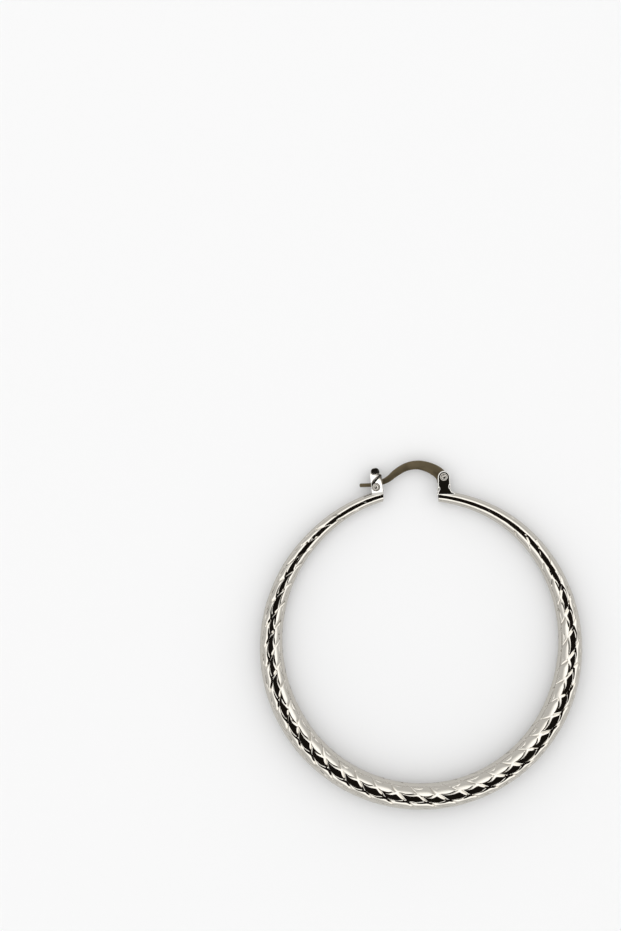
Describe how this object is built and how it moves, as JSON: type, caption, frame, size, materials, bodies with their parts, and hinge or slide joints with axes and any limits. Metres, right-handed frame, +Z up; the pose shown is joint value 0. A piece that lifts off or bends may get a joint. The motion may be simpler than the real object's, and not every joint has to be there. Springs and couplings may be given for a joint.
{
  "type": "hoop earring",
  "caption": "Tapered tubular hoop earring engraved with pointed scales, with a hinged flat ear wire that snaps into a slotted catch.",
  "frame": {"origin": "bottom centre of the bounding box of the earring lying closed on its side", "axes": "+Z up, square to the table it lies on; +Y from the thickest part of the hoop towards the closure; +X towards the hinge side"},
  "size_m": [0.06, 0.0648, 0.0053],
  "materials": {
    "polished_hoop": "mirror polished white metal, engraved, with fine handling scratches",
    "satin_wire": "satin warm grey spring metal, as stamped, with worn bright edges",
    "rivets": "polished, dimpled by the riveting punch"
  },
  "bodies": {
    "hoop_body": {"hoop": "polished_hoop", "hinge_rivet": "rivets", "catch_rivet": "rivets"},
    "wire_body": {"ear_wire": "satin_wire"}
  },
  "joints": [
    {"name": "ear_wire_hinge", "type": "hinge", "parent": "hoop_body", "child": "wire_body", "pos_m": [0.00423, 0.02941, 0.00166], "axis": [0, -0.0196, -0.9998], "range_deg": [0, 110]}
  ]
}
